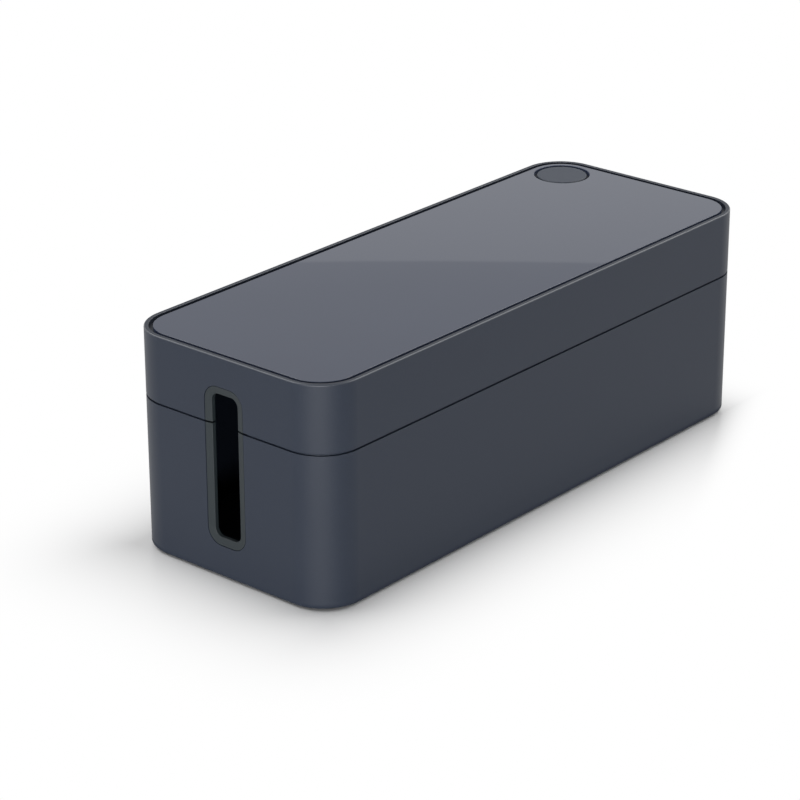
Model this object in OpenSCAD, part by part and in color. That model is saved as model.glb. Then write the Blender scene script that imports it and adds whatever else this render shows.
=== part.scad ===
// Cable management box: a long rounded tub, a lift-off lid with an inlaid top panel, a capped cable
// port in one corner of the lid, and a trimmed cable slot through each end, split at the lid's seam.
// X runs along the box, Z is up, and the origin is on the floor under the middle of the box.

/* [Box] */
// Overall length
box_l = 406; // [300:1:500]
// Overall width
box_w = 156; // [130:1:220]
// Overall height, from the floor to the lid's rim
box_h = 139.5; // [132:0.5:180]
// Outer radius of the upright corners
corner_r = 27; // [20:0.5:32]
// Thickness of the moulded walls
wall_t = 2.8; // [2.2:0.1:3]
// Thickness of the tub's floor
floor_t = 2.5; // [2:0.1:4]
// Radius of the tub's lower outer edge
base_edge_r = 2; // [0.5:0.1:2.4]
// Radius inside, where the walls meet the floor and the deck
inner_r = 1.5; // [0.5:0.1:3]

/* [Lid seam] */
// Height of the lid's outer wall
lid_h = 42; // [30:0.1:50]
// Open shadow gap between the lid and the tub
seam_gap = 1.1; // [0.3:0.1:1.5]
// Radius of the two outer edges along the shadow gap
seam_edge_r = 0.4; // [0.2:0.1:0.6]
// Thickness of the tongue that locates the lid
tongue_t = 1.2; // [0.8:0.1:1.3]
// Height of the tongue above the tub's rim
tongue_h = 4; // [2.5:0.5:8]
// Clearance between the tongue and the lid's skirt
tongue_fit = 0.3; // [0.2:0.05:0.4]
// Clearance between the tongue's ends and the lid's full wall beside each slot
tongue_end_fit = 0.5; // [0.3:0.1:1.5]

/* [Top panel] */
// Thickness of the panel
panel_t = 2.5; // [1.5:0.1:4]
// Depth of the panel's face below the rim
panel_sink = 0.3; // [0:0.1:2]
// Width of the open groove between the rim and the panel
groove_w = 2.6; // [1:0.1:4]
// Radius of the panel's upper edges
panel_edge_r = 0.4; // [0.2:0.1:0.8]
// Thickness of the lid's deck under the panel
deck_t = 2.2; // [1.5:0.1:3]
// Radius of the lid's upper outer edge
rim_edge_r = 1; // [0.5:0.1:1.5]
// Radius of the rim's inner edge
rim_inner_r = 0.4; // [0.2:0.1:0.6]

/* [Panel stakes and ribs] */
// Diameter of the stakes that hold the panel to the deck
stake_d = 4; // [3:0.5:6]
// Clearance round a stake in its hole
stake_fit = 0.1; // [0.05:0.05:0.3]
// Diameter of a stake's formed head
stake_head_d = 7.5; // [7:0.5:10]
// Height of a stake's formed head
stake_head_h = 1.6; // [1:0.1:2.5]
// Distance of each row's outermost stakes from the ends of the box
stake_end = 60; // [58:1:75]
// Distance of each row of stakes from the side of the box
stake_side = 34; // [20:1:40]
// Number of stakes in each row
stake_n = 4; // [2:1:6]
// Thickness of the ribs under the deck
rib_t = 1.6; // [1:0.1:2.5]
// Height of the ribs under the deck
rib_h = 5; // [3:0.5:8]
// Distance between the two long ribs
rib_gap = 48; // [44:1:56]

/* [Cable port] */
// Distance of the port's centre from the side and from the end of the box
port_inset = 27; // [26:0.5:32]
// Radius of the port's opening in the top panel
port_r = 18.4; // [17.5:0.1:19]
// Bore radius of the collar that takes the cap's plug
collar_r = 15; // [12:0.1:15.5]
// Wall thickness of the collar
collar_t = 2; // [1.2:0.1:3]
// Depth of the collar below the deck
collar_h = 12; // [10:0.5:14]
// Radius of the cap's head
cap_r = 16.5; // [16.2:0.1:17]
// Depth of the cap's face below the panel's face
cap_sink = 0.2; // [0:0.1:1]
// Radius of the cap's upper edge
cap_edge_r = 0.8; // [0.4:0.1:1.2]
// Clearance between the plug and the collar
plug_fit = 0.3; // [0.2:0.05:0.5]
// Wall thickness of the hollow plug
plug_t = 1.6; // [1:0.1:3]
// Length of the plug below the cap's head
plug_h = 8; // [5:0.5:10]
// Lead-in chamfer at the plug's lower end
plug_lead = 0.6; // [0.2:0.1:0.9]

/* [Cable slots] */
// Width of the recess for a slot's trim
slot_w = 30; // [26:0.5:40]
// Height of the recess for a slot's trim
slot_h = 100; // [90:1:104]
// Corner radius of the recess for a slot's trim
slot_r = 10; // [8:0.5:12]
// Height of the recess's upper end above the lid's lower edge
slot_z = 23.5; // [20:0.1:27]
// Depth of the recess for the trim's flange
recess_d = 1.4; // [1:0.1:1.6]
// Width of the ledge that the trim's flange sits on
ledge_w = 3; // [2:0.1:3.5]
// Open line between the trim's flange and the recess
trim_gap = 0.35; // [0.1:0.05:0.6]
// Depth of the flange's outer edge below the wall's face
trim_sink = 0.15; // [0:0.05:0.4]
// Width of the sloping face from the recess's edge to the opening
trim_border = 5; // [4.5:0.1:6]
// Depth of the opening's edge below the wall's face
funnel_d = 1.2; // [0.6:0.1:1.3]
// Clearance between the trim's neck and the ledge
trim_fit = 0.1; // [0.05:0.05:0.3]
// Thickness of the trim's inner lip behind the wall
lip_t = 0.8; // [0.5:0.1:1.5]
// Overlap of the inner lip behind the wall
lip_lap = 1.4; // [0.8:0.1:2]

/* [Feet] */
// Diameter of a foot
foot_d = 14; // [10:0.5:20]
// Height of a foot below the tub
foot_proud = 1; // [0.6:0.1:2]
// Depth of a foot's seat in the tub's floor
foot_seat = 1; // [0.5:0.1:1.4]
// Clearance round a foot in its seat
foot_fit = 0.2; // [0.1:0.05:0.4]
// Edge radius of a foot's underside
foot_edge_r = 0.5; // [0.2:0.1:0.6]
// Distance of a foot's centre from the end of the box
foot_inset_x = 32; // [20:1:60]
// Distance of a foot's centre from the side of the box
foot_inset_y = 30; // [20:1:45]

/* [Hidden] */
$fn = 96;
shell_colour = [0.25, 0.26, 0.30];
panel_colour = [0.43, 0.44, 0.48];
cap_colour = [0.36, 0.38, 0.41];
trim_colour = [0.23, 0.25, 0.28];
rubber_colour = [0.08, 0.08, 0.09];

// Overlap of solids that are joined, and overshoot of cuts past a face
lap = 0.5;
// Left end and front side
LEFT = -1;
RIGHT = 1;
FRONT = -1;
BACK = 1;

// Heights above the floor
tub_z = foot_proud;
floor_z = tub_z + floor_t;
lid_z = box_h - lid_h;
tub_rim_z = lid_z - seam_gap;
tongue_z = tub_rim_z + tongue_h;
panel_z = box_h - panel_sink;
deck_z = panel_z - panel_t;
deck_low_z = deck_z - deck_t;
slot_mid_z = lid_z + slot_z - slot_h / 2;

// Insets from the outer faces
skirt_t = wall_t - tongue_t - tongue_fit;
hem_w = wall_t + inner_r;
panel_inset = wall_t + groove_w;
panel_hem_w = 2 * panel_edge_r;
stake_pitch = (box_l - 2 * stake_end) / (stake_n - 1);

// The port's place, and the half-widths of the breaks that each slot makes in the tongue's ring
port_x = box_l / 2 - port_inset;
port_y = box_w / 2 - port_inset;
full_wall_y = slot_w / 2 + lip_lap;
tongue_stop_y = full_wall_y + tongue_end_fit;

// A rectangle with round corners, centred
module rounded_rect(l, w, r) {
    square([l - 2 * r, w], center = true);
    square([l, w - 2 * r], center = true);
    for (sx = [-1, 1], sy = [-1, 1])
        translate([sx * (l / 2 - r), sy * (w / 2 - r)])
            circle(r);
}

// A flat plate with the box's outline moved in by inset, from z0 up
module box_plate(inset, z0, h) {
    translate([0, 0, z0])
        linear_extrude(h)
            rounded_rect(box_l - 2 * inset, box_w - 2 * inset, corner_r - inset);
}

// Carries a profile round a rounded rectangle. In the profile X is the distance outwards from the
// outline, so it is negative inside, and Y is the height
module swept_round(l, w, r) {
    straight_x = l - 2 * r;
    straight_y = w - 2 * r;
    for (turn = [0, 180])
        rotate([0, 0, turn]) {
            translate([straight_x / 2, straight_y / 2, 0])
                rotate_extrude(angle = 90)
                    translate([r, 0])
                        children();
            translate([-straight_x / 2, straight_y / 2, 0])
                rotate([0, 0, 90])
                    rotate_extrude(angle = 90)
                        translate([r, 0])
                            children();
            translate([-straight_x / 2, w / 2, 0])
                rotate([90, 0, 90])
                    linear_extrude(straight_x)
                        children();
            translate([l / 2, straight_y / 2, 0])
                rotate([90, 0, 0])
                    linear_extrude(straight_y)
                        children();
        }
}

// The sliver between a square corner at the origin and its rounding, towards +X and +Y
module corner_sliver(r) {
    difference() {
        square(r);
        translate([r, r])
            circle(r);
    }
}

// The tub's wall: a rounded lower edge, a hem of floor, and the tongue on the inner half of the rim
module tub_profile() {
    difference() {
        union() {
            translate([-wall_t, tub_z])
                square([wall_t, tub_rim_z - tub_z]);
            translate([-wall_t, tub_z])
                square([tongue_t, tongue_z - tub_z]);
            translate([-hem_w, tub_z])
                square([hem_w, floor_t]);
            translate([-wall_t, floor_z])
                mirror([1, 0])
                    corner_sliver(inner_r);
        }
        translate([0, tub_z])
            mirror([1, 0])
                corner_sliver(base_edge_r);
        translate([0, tub_rim_z])
            rotate(180)
                corner_sliver(seam_edge_r);
    }
}

// The lid's wall: the rim, a hem of deck below it, and the rebate that drops over the tongue
module lid_profile() {
    difference() {
        union() {
            translate([-wall_t, lid_z])
                square([wall_t, lid_h]);
            translate([-hem_w, deck_low_z])
                square([hem_w, deck_t]);
            translate([-wall_t, deck_low_z])
                rotate(180)
                    corner_sliver(inner_r);
        }
        translate([-wall_t - lap, lid_z - lap])
            square([wall_t + lap - skirt_t, tongue_z - lid_z + lap]);
        translate([0, box_h])
            rotate(180)
                corner_sliver(rim_edge_r);
        translate([-wall_t, box_h])
            mirror([0, 1])
                corner_sliver(rim_inner_r);
        translate([0, lid_z])
            mirror([1, 0])
                corner_sliver(seam_edge_r);
    }
}

// Puts a shape drawn flat, with X up the slot and Z out of the box, on the middle of an end's slot
module at_slot(end) {
    translate([end * box_l / 2, 0, slot_mid_z])
        rotate([0, -90, end == RIGHT ? 180 : 0])
            children();
}

// What each slot takes out of the walls: the recess for the flange and the way through
module slot_cut(end) {
    at_slot(end) {
        translate([0, 0, -recess_d])
            linear_extrude(recess_d + lap)
                rounded_rect(slot_h, slot_w, slot_r);
        translate([0, 0, -wall_t - lap])
            linear_extrude(wall_t + 2 * lap)
                rounded_rect(slot_h - 2 * ledge_w, slot_w - 2 * ledge_w, slot_r - ledge_w);
    }
}

// A whole slot's trim: a sloping flange in the recess, a neck through the wall, a lip behind it
module slot_trim(end) {
    neck_x = -(ledge_w + trim_fit);
    lip_y = -(wall_t + trim_fit);
    at_slot(end)
        swept_round(slot_h, slot_w, slot_r)
            polygon([
                [-trim_gap, -trim_sink],
                [-trim_border, -funnel_d],
                [-trim_border, lip_y - lip_t],
                [-ledge_w + lip_lap, lip_y - lip_t],
                [-ledge_w + lip_lap, lip_y],
                [neck_x, lip_y],
                [neck_x, -recess_d],
                [-trim_gap, -recess_d]
            ]);
}

// Keeps what lies between two heights
module between(z0, z1) {
    intersection() {
        children();
        translate([-box_l, -box_w, z0])
            cube([2 * box_l, 2 * box_w, z1 - z0]);
    }
}

module foot_place(end, side) {
    translate([end * (box_l / 2 - foot_inset_x), side * (box_w / 2 - foot_inset_y), 0])
        children();
}

module base_tub() {
    color(shell_colour)
        difference() {
            union() {
                swept_round(box_l, box_w, corner_r)
                    tub_profile();
                box_plate(hem_w - lap, tub_z, floor_t);
            }
            for (end = [LEFT, RIGHT]) {
                slot_cut(end);
                // The tongue stops short of the slot
                translate([end * box_l / 2 - wall_t - lap, -tongue_stop_y, tub_rim_z])
                    cube([2 * (wall_t + lap), 2 * tongue_stop_y, tongue_h + lap]);
                for (side = [FRONT, BACK])
                    foot_place(end, side)
                        cylinder(h = tub_z + foot_seat, d = foot_d + 2 * foot_fit);
            }
        }
}

module deck_ribs() {
    rib_low_z = deck_low_z - rib_h;
    long_l = box_l - 2 * wall_t + 2 * lap;
    cross_l = box_w - 2 * wall_t + 2 * lap;
    for (side = [FRONT, BACK])
        translate([-long_l / 2, side * rib_gap / 2 - rib_t / 2, rib_low_z])
            cube([long_l, rib_t, rib_h + lap]);
    // The cross ribs run midway between the stakes
    for (i = [1:stake_n - 1])
        translate([(i - stake_n / 2) * stake_pitch - rib_t / 2, -cross_l / 2, rib_low_z])
            cube([rib_t, cross_l, rib_h + lap]);
}

module stake_places() {
    for (i = [0:stake_n - 1], side = [FRONT, BACK])
        translate([i * stake_pitch - (box_l / 2 - stake_end), side * (box_w / 2 - stake_side), 0])
            children();
}

module lid_shell() {
    color(shell_colour)
        difference() {
            union() {
                swept_round(box_l, box_w, corner_r)
                    lid_profile();
                box_plate(hem_w - lap, deck_low_z, deck_t);
                deck_ribs();
                translate([port_x, port_y, deck_low_z - collar_h])
                    cylinder(h = collar_h + lap, r = collar_r + collar_t);
                // Beside each slot the wall keeps its full thickness down to the seam
                for (end = [LEFT, RIGHT])
                    translate([end * (box_l / 2 - (wall_t + skirt_t) / 2), 0, (lid_z + tongue_z + lap) / 2])
                        cube([wall_t - skirt_t, 2 * full_wall_y, tongue_z + lap - lid_z], center = true);
            }
            for (end = [LEFT, RIGHT])
                slot_cut(end);
            translate([port_x, port_y, deck_low_z - collar_h - lap])
                cylinder(h = collar_h + deck_t + 2 * lap, r = collar_r);
            stake_places()
                translate([0, 0, deck_low_z - lap])
                    cylinder(h = deck_t + 2 * lap, d = stake_d + 2 * stake_fit);
        }
}

module top_panel() {
    color(panel_colour) {
        difference() {
            union() {
                swept_round(box_l - 2 * panel_inset, box_w - 2 * panel_inset, corner_r - panel_inset)
                    difference() {
                        translate([-panel_hem_w, deck_z])
                            square([panel_hem_w, panel_t]);
                        translate([0, panel_z])
                            rotate(180)
                                corner_sliver(panel_edge_r);
                    }
                box_plate(panel_inset + panel_hem_w / 2, deck_z, panel_t);
            }
            // The port's opening, with its upper edge rounded
            translate([port_x, port_y, 0])
                rotate_extrude() {
                    translate([0, deck_z - lap])
                        square([port_r, panel_t + 2 * lap]);
                    translate([port_r, panel_z])
                        mirror([0, 1])
                            corner_sliver(panel_edge_r);
                }
        }
        stake_places() {
            translate([0, 0, deck_low_z])
                cylinder(h = deck_t + lap, d = stake_d);
            translate([0, 0, deck_low_z - stake_head_h])
                cylinder(h = stake_head_h, d1 = stake_d, d2 = stake_head_d);
        }
    }
}

module port_cap() {
    cap_z = panel_z - cap_sink;
    plug_r = collar_r - plug_fit;
    color(cap_colour)
        translate([port_x, port_y, 0])
            rotate_extrude()
                difference() {
                    union() {
                        translate([0, deck_z])
                            square([cap_r, cap_z - deck_z]);
                        translate([plug_r - plug_t, deck_z - plug_h])
                            square([plug_t, plug_h + lap]);
                    }
                    translate([cap_r, cap_z])
                        rotate(180)
                            corner_sliver(cap_edge_r);
                    translate([plug_r, deck_z - plug_h])
                        polygon([[0, 0], [0, plug_lead], [-plug_lead, 0]]);
                }
}

module lower_trim(end) {
    color(trim_colour)
        between(0, tub_rim_z)
            slot_trim(end);
}

module upper_trim(end) {
    color(trim_colour)
        between(lid_z, box_h)
            slot_trim(end);
}

module foot(end, side) {
    color(rubber_colour)
        foot_place(end, side)
            rotate_extrude()
                difference() {
                    square([foot_d / 2, tub_z + foot_seat]);
                    translate([foot_d / 2, 0])
                        mirror([1, 0])
                            corner_sliver(foot_edge_r);
                }
}

base_tub();
lid_shell();
top_panel();
port_cap();
lower_trim(LEFT);  // lower_trim_left
lower_trim(RIGHT);  // lower_trim_right
upper_trim(LEFT);  // upper_trim_left
upper_trim(RIGHT);  // upper_trim_right
foot(LEFT, FRONT);  // foot_front_left
foot(RIGHT, FRONT);  // foot_front_right
foot(LEFT, BACK);  // foot_back_left
foot(RIGHT, BACK);  // foot_back_right
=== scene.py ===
"""A cable management box: a rounded tub, a lift-off lid with an inlaid glossy panel, a capped cable port
and a trimmed cable slot in each end. Lengths are in metres, X runs along the box and Z is up."""

import math

import bmesh
import bpy
from mathutils import Euler, Matrix, Vector


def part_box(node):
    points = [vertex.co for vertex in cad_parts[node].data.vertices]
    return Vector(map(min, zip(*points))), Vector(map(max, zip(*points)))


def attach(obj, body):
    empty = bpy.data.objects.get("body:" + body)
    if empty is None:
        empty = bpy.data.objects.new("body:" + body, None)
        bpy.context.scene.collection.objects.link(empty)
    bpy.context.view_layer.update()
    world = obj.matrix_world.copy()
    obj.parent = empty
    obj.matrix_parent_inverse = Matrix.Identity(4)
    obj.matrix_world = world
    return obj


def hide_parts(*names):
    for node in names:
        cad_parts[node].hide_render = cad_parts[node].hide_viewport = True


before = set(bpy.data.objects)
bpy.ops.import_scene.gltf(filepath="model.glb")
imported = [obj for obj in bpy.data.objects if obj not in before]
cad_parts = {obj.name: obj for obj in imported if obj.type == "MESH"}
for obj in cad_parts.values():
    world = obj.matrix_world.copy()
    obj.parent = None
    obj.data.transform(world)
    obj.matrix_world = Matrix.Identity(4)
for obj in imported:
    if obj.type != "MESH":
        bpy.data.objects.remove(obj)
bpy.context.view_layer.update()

# ---------------------------------------------------------------- sizes

# Slack in finding an edge or face by its place, and the overlap of what is joined or cut
TINY = 0.00002
LAP = 0.0005

# Ends of the box, by the sign of X
LEFT, RIGHT = -1, 1

# Edges that turn by more than this stay sharp in the shading
SHARP = math.radians(38)

# Box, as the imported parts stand
TUB_LOW, TUB_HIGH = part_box("base_tub")
LID_LOW, LID_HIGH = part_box("lid_shell")
PANEL_LOW, PANEL_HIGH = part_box("top_panel")
CAP_LOW, CAP_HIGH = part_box("port_cap")
LENGTH = TUB_HIGH.x - TUB_LOW.x
WIDTH = TUB_HIGH.y - TUB_LOW.y
TUB_Z = TUB_LOW.z
RIM_Z = LID_HIGH.z
CORNER = 0.027
CORNER_STEPS = 24
WALL = 0.0028
FLOOR_Z = TUB_Z + 0.0025
LOWER_EDGE = 0.002
INNER_EDGE = 0.0015

# Seam between the tub and the lid
SEAM_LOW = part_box("lower_trim_left")[1].z
SEAM_HIGH = LID_LOW.z
SEAM_EDGE = 0.00015
SKIRT_EDGE = 0.0006
TONGUE_Z = TUB_HIGH.z
TONGUE = 0.0012
TONGUE_EDGE = 0.00025
TONGUE_FIT = 0.0003
SKIRT = WALL - TONGUE - TONGUE_FIT

# Panel, deck and the ribs below the deck
PANEL_MARGIN = PANEL_LOW.x - LID_LOW.x
PANEL_Z = PANEL_HIGH.z
PANEL = 0.0025
PANEL_EDGE = 0.0004
RIM_EDGE = 0.001
RIM_INNER_EDGE = 0.0004
DECK_Z = PANEL_Z - PANEL
DECK_LOW = DECK_Z - 0.0022
RIB = 0.0016
RIB_Z = DECK_LOW - 0.005
RIB_GAP = 0.048

# Stakes that hold the panel to the deck
STAKE_ROWS = 4
STAKE_END = 0.06
STAKE_SIDE = 0.034
STAKE_PITCH = (LENGTH - 2 * STAKE_END) / (STAKE_ROWS - 1)
STAKE_R = 0.002
STAKE_FIT = 0.0001
STAKE_HEAD_R = 0.00375
STAKE_HEAD = 0.0016
STAKE_EDGE = 0.85 * STAKE_HEAD
STAKE_SIDES = 24

# Cable port
PORT = Vector(((CAP_LOW.x + CAP_HIGH.x) / 2, (CAP_LOW.y + CAP_HIGH.y) / 2, 0))
PORT_R = 0.0184
COLLAR_R = 0.015
COLLAR = 0.002
COLLAR_Z = DECK_LOW - 0.012
CAP_R = (CAP_HIGH.x - CAP_LOW.x) / 2
CAP_EDGE = 0.0008
CAP_UNDER_EDGE = 0.0002
PLUG_R = COLLAR_R - 0.0003
PLUG = 0.0016
PLUG_LEAD = 0.0006

# Cable slots: insets from the recess's outline, and depths below the wall's face
TRIM_GAP = 0.00035
SLOT_H = 0.1
SLOT_W = 0.03
SLOT_R = 0.01
SLOT_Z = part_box("upper_trim_left")[1].z + TRIM_GAP - SLOT_H / 2
SLOT_STEPS = 12
RECESS = 0.0014
LEDGE = 0.003
TRIM_SINK = 0.00015
TRIM_BORDER = 0.005
TRIM_EDGE = 0.0001
MOUTH_EDGE = 0.0003
FUNNEL = 0.0012
TRIM_FIT = 0.0001
NECK = LEDGE + TRIM_FIT
LIP_LAP = 0.0014
LIP = LEDGE - LIP_LAP
LIP_FRONT = WALL + TRIM_FIT
LIP_BACK = LIP_FRONT + 0.0008

# Distances from a slot's middle: to where the lid's wall is its full thickness, and to the tongue's end
FULL_WALL = SLOT_W / 2 + LIP_LAP
TONGUE_STOP = FULL_WALL + 0.0005

# Feet
FEET = [f"foot_{side}_{end}" for side in ("front", "back") for end in ("left", "right")]
FOOT_SIDES = 48
FOOT_FIT = 0.0002
FOOT_SEAT = 0.001
FOOT_EDGE = 0.0005


# ---------------------------------------------------------------- modelling by hand


def select_only(piece):
    """Leaves one piece selected and active."""
    bpy.ops.object.select_all(action="DESELECT")
    piece.select_set(True)
    bpy.context.view_layer.objects.active = piece


def open_edit(piece):
    """Opens a piece for editing with nothing selected."""
    select_only(piece)
    bpy.ops.object.mode_set(mode="EDIT")
    bpy.ops.mesh.select_all(action="DESELECT")


def close_edit():
    bpy.ops.object.mode_set(mode="OBJECT")


def pick_faces(piece, wanted):
    """Selects the faces that pass a test of their centre and normal, and nothing else."""
    bpy.ops.mesh.select_mode(type="FACE")
    bpy.ops.mesh.select_all(action="DESELECT")
    mesh = bmesh.from_edit_mesh(piece.data)
    for face in mesh.faces:
        face.select_set(wanted(face.calc_center_median(), face.normal))
    bmesh.update_edit_mesh(piece.data)


def pick_edges(piece, wanted):
    """Selects the edges that pass a test of their two ends, and nothing else."""
    bpy.ops.mesh.select_mode(type="EDGE")
    bpy.ops.mesh.select_all(action="DESELECT")
    mesh = bmesh.from_edit_mesh(piece.data)
    for edge in mesh.edges:
        edge.select_set(wanted(edge.verts[0].co, edge.verts[1].co))
    bmesh.update_edit_mesh(piece.data)


def near(value, target, slack=TINY):
    return abs(value - target) < slack


def pick_level_face(piece, z):
    """Selects the level faces at a height."""
    pick_faces(piece, lambda centre, normal: near(centre.z, z) and abs(normal.z) > 0.99)


def pick_rim(piece, z, measure, distance, slack=TINY):
    """Selects the level edges at a height that run at a distance inside an outline, or from an axis."""

    def on_rim(point):
        return near(point.z, z) and near(measure(point), distance, slack)

    pick_edges(piece, lambda a, b: on_rim(a) and on_rim(b))


def extrude(distance):
    bpy.ops.mesh.extrude_region_move(TRANSFORM_OT_translate={"value": (0, 0, distance)})


def inset(thickness):
    bpy.ops.mesh.inset(thickness=thickness, use_even_offset=True)


def bevel(width, segments):
    bpy.ops.mesh.bevel(offset=width, segments=segments, profile=0.5, affect="EDGES", clamp_overlap=False)


def round_rim(piece, z, measure, distance, width, segments):
    pick_rim(piece, z, measure, distance)
    bevel(width, segments)


def inset_from_oblong(point, length, width, corner):
    """How far inside a rounded oblong a point is, seen from above."""
    x = abs(point.x) - (length / 2 - corner)
    y = abs(point.y) - (width / 2 - corner)
    outside = math.hypot(max(x, 0), max(y, 0)) + min(max(x, y), 0)
    return corner - outside


def inset_from_box(point):
    return inset_from_oblong(point, LENGTH, WIDTH, CORNER)


def inset_from_recess(point):
    return inset_from_oblong(point, SLOT_H, SLOT_W, SLOT_R)


def distance_from_port(point):
    return math.hypot(point.x - PORT.x, point.y - PORT.y)


def plain_block(name, low, high):
    """A square-edged block between two corners."""
    low, high = Vector(low), Vector(high)
    bpy.ops.mesh.primitive_cube_add(size=1, location=(low + high) / 2, scale=high - low)
    piece = bpy.context.object
    piece.name = piece.data.name = name
    bpy.ops.object.transform_apply(location=True, rotation=False, scale=True)
    return piece


def rounded_block(name, length, width, corner, low, high, steps=CORNER_STEPS):
    """A block between two heights, centred on the origin, with its upright edges rounded."""
    piece = plain_block(name, (-length / 2, -width / 2, low), (length / 2, width / 2, high))
    open_edit(piece)
    pick_edges(piece, lambda a, b: abs(a.z - b.z) > (high - low) / 2)
    bevel(corner, steps)
    close_edit()
    return piece


def turned_block(name, radius, centre, low, high, sides=96):
    """A cylinder between two heights."""
    place = (centre.x, centre.y, (low + high) / 2)
    bpy.ops.mesh.primitive_cylinder_add(vertices=sides, radius=radius, depth=high - low, location=place)
    piece = bpy.context.object
    piece.name = piece.data.name = name
    bpy.ops.object.transform_apply(location=True, rotation=False, scale=False)
    return piece


def copy_piece(pattern, name):
    """A copy of a piece with a mesh of its own."""
    piece = pattern.copy()
    piece.data = pattern.data.copy()
    piece.name = piece.data.name = name
    bpy.context.collection.objects.link(piece)
    return piece


def combine(piece, other, operation):
    """Cuts another piece out of this one, or joins it on, and uses the other piece up."""
    select_only(piece)
    modifier = piece.modifiers.new("combine", "BOOLEAN")
    modifier.operation = operation
    modifier.solver = "EXACT"
    modifier.object = other
    bpy.ops.object.modifier_apply(modifier=modifier.name)
    bpy.data.meshes.remove(other.data)


def cut(piece, cutter):
    combine(piece, cutter, "DIFFERENCE")


def add_on(piece, extra):
    combine(piece, extra, "UNION")


def shade(piece):
    """Smooths the fillets, keeps the corners crisp and the flats flat."""
    open_edit(piece)
    bpy.ops.mesh.select_all(action="SELECT")
    bpy.ops.mesh.remove_doubles(threshold=TINY / 10)
    bpy.ops.mesh.normals_make_consistent(inside=False)
    close_edit()
    bpy.ops.object.shade_smooth_by_angle(angle=SHARP)
    modifier = piece.modifiers.new("flats", "WEIGHTED_NORMAL")
    modifier.mode = "FACE_AREA"
    modifier.weight = 100
    modifier.keep_sharp = True
    bpy.ops.object.modifier_apply(modifier=modifier.name)


# ---------------------------------------------------------------- slots


def onto_end(piece, end):
    """Turns a plate that was made lying flat, with X up the slot and Z out of the box, onto an end."""
    select_only(piece)
    upright = Matrix.Rotation(-math.pi / 2, 4, "Y")
    outwards = Matrix.Rotation(math.pi if end == RIGHT else 0, 4, "Z")
    piece.matrix_world = Matrix.Translation((end * LENGTH / 2, 0, SLOT_Z)) @ outwards @ upright
    bpy.ops.object.transform_apply(location=True, rotation=True, scale=False)


def slot_plate(name, distance_in, low, high):
    """A flat plate with the recess's outline moved in, between two heights from the wall's face."""
    height = SLOT_H - 2 * distance_in
    width = SLOT_W - 2 * distance_in
    return rounded_block(name, height, width, SLOT_R - distance_in, low, high, SLOT_STEPS)


def cut_slot(piece, end):
    """Takes the trim's recess and the way through out of an end wall."""
    for name, distance_in, depth in (("recess", 0, RECESS), ("way_through", LEDGE, WALL + LAP)):
        cutter = slot_plate(name, distance_in, -depth, LAP)
        onto_end(cutter, end)
        cut(piece, cutter)


# ---------------------------------------------------------------- pieces


def make_tub():
    """The tub: a rounded shell with a tongue on the inner half of its rim."""
    tub = rounded_block("tub", LENGTH, WIDTH, CORNER, TUB_Z, SEAM_LOW)
    open_edit(tub)
    pick_level_face(tub, SEAM_LOW)
    inset(WALL - TONGUE)
    extrude(TONGUE_Z - SEAM_LOW)
    inset(TONGUE)
    extrude(FLOOR_Z - TONGUE_Z)
    round_rim(tub, TUB_Z, inset_from_box, 0, LOWER_EDGE, 8)
    round_rim(tub, SEAM_LOW, inset_from_box, 0, SEAM_EDGE, 3)
    round_rim(tub, FLOOR_Z, inset_from_box, WALL, INNER_EDGE, 5)
    round_rim(tub, TONGUE_Z, inset_from_box, WALL - TONGUE, TONGUE_EDGE, 2)
    round_rim(tub, TONGUE_Z, inset_from_box, WALL, TONGUE_EDGE, 2)
    close_edit()
    for end in (LEFT, RIGHT):
        cut_slot(tub, end)
        near_x, far_x = sorted((end * (LENGTH / 2 - WALL - LAP), end * (LENGTH / 2 + LAP)))
        low = (near_x, -TONGUE_STOP, SEAM_LOW)
        cut(tub, plain_block("tongue_break", low, (far_x, TONGUE_STOP, TONGUE_Z + LAP)))
    for node in FEET:
        centre, radius = foot_place(node)
        seat = turned_block("seat", radius + FOOT_FIT, centre, TUB_Z - LAP, TUB_Z + FOOT_SEAT, FOOT_SIDES)
        cut(tub, seat)
    return tub


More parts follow.
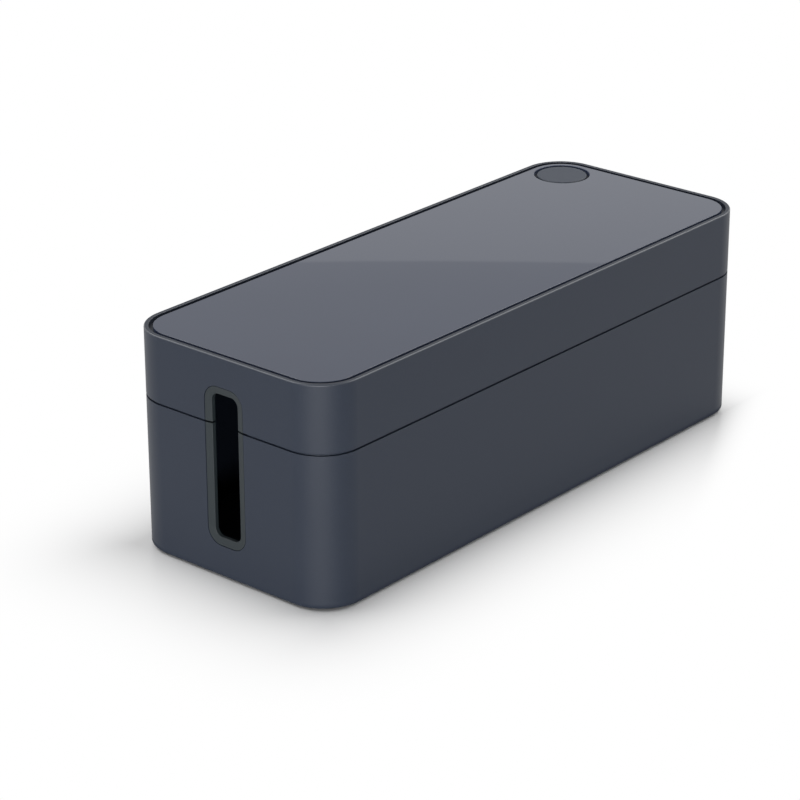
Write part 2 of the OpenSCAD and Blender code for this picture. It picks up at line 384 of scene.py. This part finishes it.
def make_lid():
    """The lid: a rim, a deck below it with ribs and the port's collar, and a skirt over the tongue."""
    lid = rounded_block("lid", LENGTH, WIDTH, CORNER, SEAM_HIGH, RIM_Z)
    open_edit(lid)
    pick_level_face(lid, RIM_Z)
    inset(WALL)
    extrude(DECK_Z - RIM_Z)
    pick_level_face(lid, SEAM_HIGH)
    inset(SKIRT)
    extrude(TONGUE_Z - SEAM_HIGH)
    inset(WALL - SKIRT)
    extrude(DECK_LOW - TONGUE_Z)
    round_rim(lid, RIM_Z, inset_from_box, 0, RIM_EDGE, 6)
    round_rim(lid, RIM_Z, inset_from_box, WALL, RIM_INNER_EDGE, 3)
    round_rim(lid, SEAM_HIGH, inset_from_box, 0, SKIRT_EDGE, 3)
    round_rim(lid, DECK_LOW, inset_from_box, WALL, INNER_EDGE, 5)
    close_edit()

    long_reach = LENGTH / 2 - WALL + LAP
    cross_reach = WIDTH / 2 - WALL + LAP
    for y in (-RIB_GAP / 2, RIB_GAP / 2):
        low = (-long_reach, y - RIB / 2, RIB_Z)
        add_on(lid, plain_block("long_rib", low, (long_reach, y + RIB / 2, DECK_LOW + LAP)))
    for row in range(1, STAKE_ROWS):
        x = (row - STAKE_ROWS / 2) * STAKE_PITCH
        low = (x - RIB / 2, -cross_reach, RIB_Z)
        add_on(lid, plain_block("cross_rib", low, (x + RIB / 2, cross_reach, DECK_LOW + LAP)))
    add_on(lid, turned_block("collar", COLLAR_R + COLLAR, PORT, COLLAR_Z, DECK_LOW + LAP))
    for end in (LEFT, RIGHT):
        near_x, far_x = sorted((end * (LENGTH / 2 - WALL), end * (LENGTH / 2 - SKIRT + TINY)))
        low = (near_x, -FULL_WALL, SEAM_HIGH)
        add_on(lid, plain_block("full_wall", low, (far_x, FULL_WALL, TONGUE_Z + LAP)))
        cut_slot(lid, end)
    cut(lid, turned_block("bore", COLLAR_R, PORT, COLLAR_Z - LAP, DECK_Z + LAP))
    hole_r = STAKE_R + STAKE_FIT
    for place in stake_places():
        cut(lid, turned_block("stake_hole", hole_r, place, DECK_LOW - LAP, DECK_Z + LAP, STAKE_SIDES))
    return lid


def stake_places():
    """Where the stakes stand that hold the panel to the deck."""
    return [
        Vector((row * STAKE_PITCH - LENGTH / 2 + STAKE_END, side * (WIDTH / 2 - STAKE_SIDE), 0))
        for row in range(STAKE_ROWS)
        for side in (-1, 1)
    ]


def make_stake():
    """One stake at the origin, with its head formed over the deck's underside."""
    head_z = DECK_LOW - STAKE_HEAD
    stake = turned_block("stake", STAKE_HEAD_R, Vector((0, 0, 0)), head_z, DECK_LOW, STAKE_SIDES)
    open_edit(stake)
    pick_level_face(stake, DECK_LOW)
    inset(STAKE_HEAD_R - STAKE_R)
    extrude(DECK_Z - DECK_LOW + LAP)
    pick_edges(stake, lambda a, b: near(a.z, head_z) and near(b.z, head_z))
    bevel(STAKE_EDGE, 5)
    close_edit()
    return stake


def make_panel():
    """The glossy panel, let into the lid, with the port's opening and its stakes."""
    length = LENGTH - 2 * PANEL_MARGIN
    width = WIDTH - 2 * PANEL_MARGIN
    panel = rounded_block("panel", length, width, CORNER - PANEL_MARGIN, DECK_Z, PANEL_Z)
    open_edit(panel)
    round_rim(panel, PANEL_Z, inset_from_box, PANEL_MARGIN, PANEL_EDGE, 4)
    close_edit()
    cut(panel, turned_block("opening", PORT_R, PORT, DECK_Z - LAP, PANEL_Z + LAP))
    open_edit(panel)
    round_rim(panel, PANEL_Z, distance_from_port, PORT_R, PANEL_EDGE, 4)
    close_edit()
    pattern = make_stake()
    for place in stake_places():
        stake = copy_piece(pattern, "stake")
        stake.location = place
        select_only(stake)
        bpy.ops.object.transform_apply(location=True, rotation=False, scale=False)
        add_on(panel, stake)
    bpy.data.meshes.remove(pattern.data)
    return panel


def make_cap():
    """The port's cap: a flat head with a rounded edge over a hollow plug."""
    cap = turned_block("cap", CAP_R, PORT, DECK_Z, CAP_HIGH.z)
    open_edit(cap)
    pick_level_face(cap, DECK_Z)
    inset(CAP_R - PLUG_R)
    extrude(CAP_LOW.z - DECK_Z)
    inset(PLUG)
    extrude(DECK_Z - CAP_LOW.z)
    round_rim(cap, CAP_HIGH.z, distance_from_port, CAP_R, CAP_EDGE, 6)
    round_rim(cap, DECK_Z, distance_from_port, CAP_R, CAP_UNDER_EDGE, 2)
    round_rim(cap, CAP_LOW.z, distance_from_port, PLUG_R, PLUG_LEAD, 1)
    close_edit()
    return cap


def pick_trim_rim(trim, depth, distance_in):
    """Selects the trim's edges at a depth below the wall's face that follow the recess's outline."""
    pick_rim(trim, -depth, inset_from_recess, distance_in, 2 * TINY)


def make_whole_trim():
    """One slot's whole trim, lying flat: a sloping flange, a neck through the wall and a lip behind it."""
    trim = slot_plate("trim", LIP, -LIP_BACK, -LIP_FRONT)
    open_edit(trim)
    pick_level_face(trim, -LIP_FRONT)
    inset(NECK - LIP)
    extrude(LIP_FRONT - RECESS)
    extrude(RECESS - FUNNEL)
    # The flange grows outwards from the top of the neck, and its rim rises to give the slope
    pick_faces(trim, lambda centre, normal: -RECESS < centre.z < -FUNNEL and abs(normal.z) < 0.1)
    bpy.ops.mesh.extrude_region_shrink_fatten(
        TRANSFORM_OT_shrink_fatten={"value": NECK - TRIM_GAP, "use_even_offset": True}
    )
    pick_trim_rim(trim, FUNNEL, TRIM_GAP)
    bpy.ops.transform.translate(value=(0, 0, FUNNEL - TRIM_SINK))
    # The mouth's two outlines, in front and behind, are bridged into the way through
    pick_level_face(trim, -FUNNEL)
    inset(TRIM_BORDER - NECK)
    pick_trim_rim(trim, FUNNEL, NECK)
    slope = (FUNNEL - TRIM_SINK) / (TRIM_BORDER - TRIM_GAP)
    bpy.ops.transform.translate(value=(0, 0, slope * (TRIM_BORDER - NECK)))
    pick_level_face(trim, -LIP_BACK)
    inset(TRIM_BORDER - LIP)
    pick_faces(trim, lambda centre, normal: abs(normal.z) > 0.99 and centre.xy.length < TINY)
    bpy.ops.mesh.bridge_edge_loops()
    pick_trim_rim(trim, FUNNEL, TRIM_BORDER)
    bevel(MOUTH_EDGE, 3)
    pick_trim_rim(trim, TRIM_SINK, TRIM_GAP)
    bevel(TRIM_EDGE, 2)
    close_edit()
    return trim


def trim_half(whole, name, height, upper):
    """The part of a trim above or below a height, closed where it is parted."""
    half = copy_piece(whole, name)
    side = {"clear_inner": upper, "clear_outer": not upper}
    open_edit(half)
    bpy.ops.mesh.select_all(action="SELECT")
    bpy.ops.mesh.bisect(plane_co=(0, 0, height), plane_no=(0, 0, 1), use_fill=True, **side)
    close_edit()
    return half


def make_trims():
    """Both slots' trims, each parted along the seam into a half in the tub and a half in the lid."""
    pattern = make_whole_trim()
    halves = {}
    for end, side in ((LEFT, "left"), (RIGHT, "right")):
        whole = copy_piece(pattern, "whole_trim")
        onto_end(whole, end)
        halves[f"lower_trim_{side}"] = trim_half(whole, f"lower_slot_trim_{side}", SEAM_LOW, upper=False)
        halves[f"upper_trim_{side}"] = trim_half(whole, f"upper_slot_trim_{side}", SEAM_HIGH, upper=True)
        bpy.data.meshes.remove(whole.data)
    bpy.data.meshes.remove(pattern.data)
    return halves


def foot_place(node):
    """Where a foot's axis is, and its radius."""
    low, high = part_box(node)
    return (low + high) / 2, (high.x - low.x) / 2


def make_foot(node):
    """A rubber foot, rounded where it meets the floor, in its seat under the tub."""
    low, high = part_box(node)
    centre, radius = foot_place(node)
    foot = turned_block("rubber_" + node, radius, centre, low.z, high.z, FOOT_SIDES)
    open_edit(foot)
    pick_edges(foot, lambda a, b: near(a.z, low.z) and near(b.z, low.z))
    bevel(FOOT_EDGE, 4)
    close_edit()
    return foot


# ---------------------------------------------------------------- finishes

# Height over which an edge's finish ends below a flat face
EDGE_BAND = 0.00005


def srgb(red, green, blue):
    """A colour as it looks on a screen, from 0 to 255, as the shader's linear numbers."""

    def linear(value):
        value /= 255
        return value / 12.92 if value <= 0.04045 else ((value + 0.055) / 1.055) ** 2.4

    return (linear(red), linear(green), linear(blue), 1)


class Signal:
    """A number or colour inside a finish, so that shader maths reads as plain expressions."""

    def __init__(self, finish, socket):
        self.finish = finish
        self.socket = socket

    def maths(self, operation, first, second):
        return self.finish.node("ShaderNodeMath", {"operation": operation}, {0: first, 1: second})

    def __add__(self, other):
        return self.maths("ADD", self, other)

    def __radd__(self, other):
        return self.maths("ADD", other, self)

    def __sub__(self, other):
        return self.maths("SUBTRACT", self, other)

    def __rsub__(self, other):
        return self.maths("SUBTRACT", other, self)

    def __mul__(self, other):
        return self.maths("MULTIPLY", self, other)

    def __rmul__(self, other):
        return self.maths("MULTIPLY", other, self)


class Finish:
    """The nodes of one material or of the world."""

    def __init__(self, owner):
        owner.use_nodes = True
        self.owner = owner
        self.tree = owner.node_tree

    def node(self, kind, settings=None, inputs=None, output=0):
        """Adds any node, sets it up, feeds its inputs and gives one of its outputs."""
        made = self.tree.nodes.new(kind)
        for name, value in (settings or {}).items():
            setattr(made, name, value)
        for name, value in (inputs or {}).items():
            self.feed(made.inputs[name], value)
        return Signal(self, made.outputs[output])

    def feed(self, socket, value):
        if isinstance(value, Signal):
            self.tree.links.new(value.socket, socket)
        else:
            socket.default_value = value

    def place(self):
        """Where a point is with the box closed, in metres."""
        return self.node("ShaderNodeTexCoord", output="Object")

    def along(self, axis, place):
        """A place's distance along X, Y or Z."""
        return self.node("ShaderNodeSeparateXYZ", inputs={"Vector": place}, output=axis)

    def light_path(self, kind):
        """1 for one kind of ray, such as Is Camera Ray, and 0 for all others."""
        return self.node("ShaderNodeLightPath", output=kind)

    def noise(self, size, detail=2, roughness=0.5):
        """Noise whose grains are about as wide as size, in metres."""
        inputs = {"Vector": self.place(), "Scale": 1 / size, "Detail": detail, "Roughness": roughness}
        return self.node("ShaderNodeTexNoise", inputs=inputs)

    def mix(self, amount, first, second):
        """Goes from the first colour to the second as amount goes from 0 to 1."""
        settings = {"data_type": "RGBA"}
        return self.node("ShaderNodeMix", settings, {0: amount, 6: first, 7: second}, output=2)

    def remap(self, signal, low, high, to_low=0, to_high=1):
        """Goes from to_low to to_high as signal goes from low to high, and stays level beyond them."""
        inputs = {"Value": signal, "From Min": low, "From Max": high, "To Min": to_low, "To Max": to_high}
        return self.node("ShaderNodeMapRange", {"clamp": True}, inputs)


class Coat(Finish):
    """A finish of one Principled shader, for a piece of the box."""

    def __init__(self, name):
        super().__init__(bpy.data.materials.new(name))
        self.shader = self.tree.nodes["Principled BSDF"]

    def set(self, **sockets):
        for name, value in sockets.items():
            self.feed(self.shader.inputs[name.replace("_", " ").title().replace("Ior", "IOR")], value)

    def bump(self, height, depth):
        """Raises the surface by depth, in metres, where height is 1."""
        inputs = {"Height": height, "Distance": depth, "Strength": 1}
        self.set(normal=self.node("ShaderNodeBump", inputs=inputs))


def shell_finish():
    """Satin moulded plastic with a fine spark-eroded grain and a slow drift in its gloss.

    The rim's rounding is polished by handling, and the lower edge is left rough."""
    coat = Coat("satin_moulded_plastic")
    grain = coat.noise(0.0005, detail=3, roughness=0.6)
    drift = coat.noise(0.09, detail=2)
    speck = coat.remap(coat.noise(0.0012, detail=1), 0.3, 0.7)
    tone = 0.6 * drift + 0.4 * speck
    height = coat.along("Z", coat.place())
    above_side = coat.remap(height, RIM_Z - RIM_EDGE, RIM_Z - RIM_EDGE / 2)
    below_top = coat.remap(height, RIM_Z - 2 * EDGE_BAND, RIM_Z - EDGE_BAND, 1, 0)
    lower_edge = coat.remap(height, TUB_Z + LOWER_EDGE, TUB_Z + 2 * LOWER_EDGE, 1, 0)
    coat.set(
        base_color=coat.mix(tone, srgb(26, 32, 43), srgb(30, 36, 47)),
        roughness=0.41 + 0.06 * drift + 0.05 * grain + 0.45 * lower_edge,
        ior=1.5,
        specular_ior_level=0.25,
        coat_weight=0.6 * above_side * below_top,
        coat_roughness=0.3,
    )
    coat.bump(grain, 0.00002)
    return coat.owner


def panel_finish():
    """High gloss with the faint waviness of a moulded sheet, and a matt edge."""
    coat = Coat("high_gloss_panel")
    wave = coat.noise(0.03, detail=1)
    haze = coat.noise(0.05, detail=3, roughness=0.6)
    height = coat.along("Z", coat.place())
    edge = coat.remap(height, PANEL_Z - 2 * EDGE_BAND, PANEL_Z - TINY, 1, 0)
    coat.set(
        base_color=coat.mix(haze, srgb(36, 46, 68), srgb(40, 50, 72)),
        roughness=0.008 + 0.004 * haze + 0.45 * edge,
        ior=1.5,
    )
    coat.bump(wave, 0.000001)
    return coat.owner


def cap_finish():
    """Matt soft-touch plastic, a little paler than the box."""
    coat = Coat("matt_cap_plastic")
    grain = coat.noise(0.0004, detail=2)
    drift = coat.noise(0.012, detail=2)
    coat.set(
        base_color=coat.mix(drift, srgb(35, 42, 54), srgb(40, 47, 59)),
        roughness=0.52 + 0.06 * drift,
        ior=1.5,
        specular_ior_level=0.42,
    )
    coat.bump(grain, 0.000015)
    return coat.owner


def trim_finish():
    """Matt plastic of the slot trims, a little greener than the box."""
    coat = Coat("matt_trim_plastic")
    grain = coat.noise(0.0004, detail=2)
    drift = coat.noise(0.02, detail=2)
    coat.set(
        base_color=coat.mix(drift, srgb(25, 31, 34), srgb(29, 35, 38)),
        roughness=0.5 + 0.06 * drift,
        ior=1.5,
        specular_ior_level=0.27,
    )
    coat.bump(grain, 0.000015)
    return coat.owner


def foot_finish():
    """Black rubber."""
    coat = Coat("black_foot_rubber")
    grain = coat.noise(0.0006, detail=3)
    coat.set(
        base_color=coat.mix(grain, srgb(20, 20, 22), srgb(30, 30, 32)),
        roughness=0.7 + 0.1 * grain,
        ior=1.5,
    )
    coat.bump(grain, 0.00003)
    return coat.owner


# ---------------------------------------------------------------- studio

# Floor: its half-width, its colour and how far from the box it is plain white
FLOOR_REACH = 8
FLOOR_GREY = 0.67
WHITE_TO = 0.138

# Shadow's outline: it fades sooner in front and behind than at the left end. At the right end it fades
# sooner still, from a line that starts a little inside the end and slants back beside the box
SIDE_FADE = 1.25
RIGHT_FADE = 2
RIGHT_SLANT = 2
RIGHT_START = 0.02

# Room as reflections see it, by the sine of the angle above the floor: white round the horizon,
# with a sharp edge that the panel mirrors, then a dimmer ceiling with a white skylight
HORIZON = math.sin(math.radians(20.37))
HORIZON_BLUR = 0.0003
WALL_BAND = 0.03
WALL_TOP = 0.96
CEILING = (0.77, 0.75)
CEILING_BAND = 0.008
SKYLIGHT = (0.5, 0.6)

# Level at which the room lights what isn't a reflection
AMBIENT = 0.25

# Camera, as fitted to the photograph: millimetres for the lens, degrees for the angles
LENS = 132.018
SENSOR = 36
CAMERA_PLACE = (-1.29689, -1.06864, 0.76386)
CAMERA_TILT = 66.921
CAMERA_TURN = -49.422
CAMERA_ROLL = -0.173


def paint_white_far(finish, lit, blend):
    """Turns a lit shader plain white for the camera and for reflections, by a blend from 0 to 1."""
    camera = finish.light_path("Is Camera Ray")
    mirrored = finish.light_path("Is Glossy Ray") + finish.light_path("Is Transmission Ray")
    seen = finish.node("ShaderNodeClamp", inputs={"Value": camera + mirrored})
    white = finish.node("ShaderNodeEmission", inputs={"Color": (1, 1, 1, 1), "Strength": 1})
    return finish.node("ShaderNodeMixShader", inputs={0: seen * blend, 1: lit, 2: white})


def make_floor():
    """A pale floor that keeps the box's shadow and turns plain white away from it."""
    bpy.ops.mesh.primitive_plane_add(size=2 * FLOOR_REACH)
    floor = bpy.context.object
    floor.name = "studio_floor"
    coat = Coat("pale_studio_floor")
    coat.set(base_color=(FLOOR_GREY, FLOOR_GREY, FLOOR_GREY, 1), roughness=0.3, ior=1.45)

    def beyond(distance):
        return coat.node("ShaderNodeMath", {"operation": "MAXIMUM"}, {0: distance, 1: 0})

    place = coat.place()
    x = coat.along("X", place)
    to_side = coat.node("ShaderNodeMath", {"operation": "ABSOLUTE"}, {0: coat.along("Y", place)})
    beside = beyond(to_side - WIDTH / 2)
    left = beyond(-LENGTH / 2 - x)
    right = beyond(x - LENGTH / 2 + RIGHT_START + beside * RIGHT_SLANT)
    along = left + right * RIGHT_FADE
    across = beside * SIDE_FADE
    away = coat.node("ShaderNodeMath", {"operation": "SQRT"}, {0: along * along + across * across})
    nearness = coat.remap(away, 0, WHITE_TO, 1, 0)
    far = 1 - nearness * nearness * nearness
    lit = Signal(coat, coat.shader.outputs[0])
    coat.feed(coat.tree.nodes["Material Output"].inputs["Surface"], paint_white_far(coat, lit, far))
    floor.data.materials.append(coat.owner)


def make_world():
    """A white horizon all round, a dimmer ceiling above it, and plain white behind the box."""
    world = bpy.data.worlds.new("studio")
    bpy.context.scene.world = world
    room = Finish(world)
    height = room.along("Z", room.node("ShaderNodeTexCoord", output="Generated"))
    wall = room.remap(height, HORIZON - WALL_BAND, HORIZON, 1, WALL_TOP)
    ceiling = room.remap(height, HORIZON, HORIZON + CEILING_BAND, *CEILING)
    skylight = room.remap(height, *SKYLIGHT, 0, 1 - CEILING[1])
    above = room.remap(height, HORIZON - HORIZON_BLUR, HORIZON + HORIZON_BLUR)
    mirrored = wall + above * (ceiling + skylight - wall)
    camera = room.light_path("Is Camera Ray")
    glossy = room.light_path("Is Glossy Ray")
    level = camera + (1 - camera) * (glossy * mirrored + (1 - glossy) * AMBIENT)
    background = room.tree.nodes["Background"]
    room.feed(background.inputs["Strength"], level)
    background.inputs["Color"].default_value = (1, 1, 1, 1)


def make_softbox(name, place, aim, width, height, radiance):
    """An oblong lamp that faces a point, as bright as a white sheet times its radiance."""
    lamp = bpy.data.lights.new(name, "AREA")
    lamp.shape = "RECTANGLE"
    lamp.size = width
    lamp.size_y = height
    lamp.energy = radiance * math.pi * width * height
    box = bpy.data.objects.new(name, lamp)
    bpy.context.collection.objects.link(box)
    box.location = place
    box.rotation_euler = (Vector(aim) - Vector(place)).to_track_quat("-Z", "Y").to_euler()


def make_lamps():
    """A low oblong softbox on the camera's side, and a large square one high up on each side."""
    tub, lid = (0, 0, 0.07), (0, 0, 0.1)
    make_softbox("camera_side_softbox", (-2.28, -1.48, 0.2), tub, width=2.4, height=0.4, radiance=33)
    make_softbox("right_softbox", (1.49, -0.6, 1.5), lid, width=1.7, height=1.7, radiance=3.4)
    make_softbox("left_softbox", (-0.65, 1.24, 1.65), lid, width=1.7, height=1.7, radiance=3.5)


def make_camera():
    """The camera where the photograph was taken from."""
    lens = bpy.data.cameras.new("camera")
    lens.lens = LENS
    lens.sensor_width = SENSOR
    camera = bpy.data.objects.new("camera", lens)
    bpy.context.collection.objects.link(camera)
    aim = Euler((math.radians(CAMERA_TILT), 0, math.radians(CAMERA_TURN))).to_matrix().to_4x4()
    roll = Matrix.Rotation(math.radians(CAMERA_ROLL), 4, "Z")
    camera.matrix_world = Matrix.Translation(CAMERA_PLACE) @ aim @ roll
    bpy.context.scene.camera = camera


# ---------------------------------------------------------------- assembly


def mount(piece, body, node, material):
    """Finishes a piece and puts it in its node's place on the box."""
    shade(piece)
    piece.data.materials.clear()
    piece.data.materials.append(material)
    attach(piece, body)
    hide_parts(node)


shell = shell_finish()
mount(make_tub(), "base", "base_tub", shell)
mount(make_lid(), "lid", "lid_shell", shell)
mount(make_panel(), "lid", "top_panel", panel_finish())
mount(make_cap(), "cap", "port_cap", cap_finish())
trim_plastic = trim_finish()
for node, half in make_trims().items():
    mount(half, "base" if node.startswith("lower") else "lid", node, trim_plastic)
rubber = foot_finish()
for node in FEET:
    mount(make_foot(node), "base", node, rubber)

make_floor()
make_world()
make_lamps()
make_camera()
bpy.context.scene.view_settings.view_transform = "Standard"
